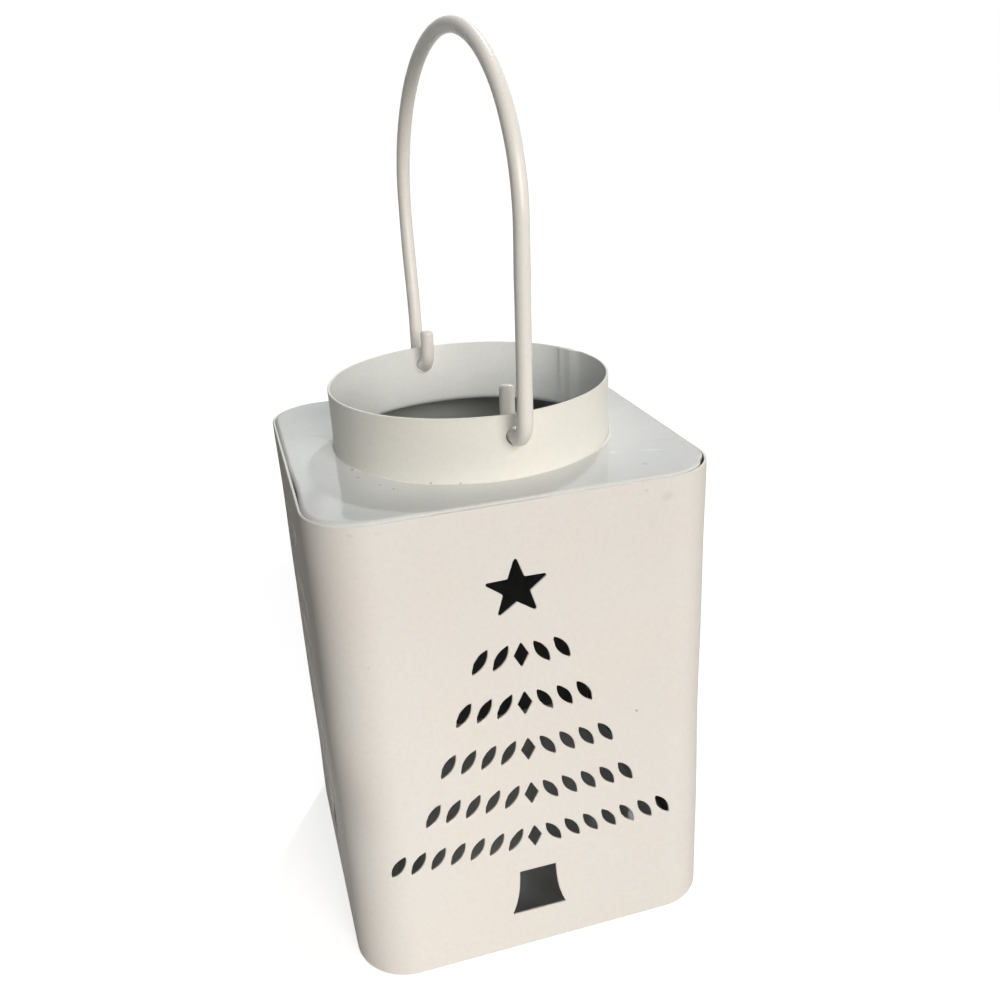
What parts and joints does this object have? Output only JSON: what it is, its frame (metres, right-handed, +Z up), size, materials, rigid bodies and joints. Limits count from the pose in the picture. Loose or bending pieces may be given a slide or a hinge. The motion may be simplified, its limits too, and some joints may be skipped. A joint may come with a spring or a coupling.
{
  "type": "lantern",
  "caption": "Square pierced sheet-metal candle lantern with rounded corners, a round collar on top and a swinging wire bail.",
  "frame": {"origin": "middle of the base, on the surface that the lantern stands on", "axes": "+Z up, front face towards -Y, +X to the right seen from the front"},
  "size_m": [0.12, 0.118, 0.2792],
  "materials": {
    "sleeve_paint": "satin warm white paint",
    "plate_paint": "satin cool white paint",
    "floor_metal": "dull grey overspray",
    "collar_paint": "satin cream paint",
    "bail_paint": "satin cream paint"
  },
  "bodies": {
    "lantern_body": {"body_sleeve": "sleeve_paint", "top_plate": "plate_paint", "base_plate": "floor_metal", "collar": "collar_paint"},
    "bail": {"bail": "bail_paint"}
  },
  "joints": [
    {"name": "bail_swing", "type": "hinge", "parent": "lantern_body", "child": "bail", "pos_m": [-0.00169, -0.00014, 0.1702], "axis": [0.0802, -0.9968, 0], "range_deg": [-97, 97]}
  ]
}
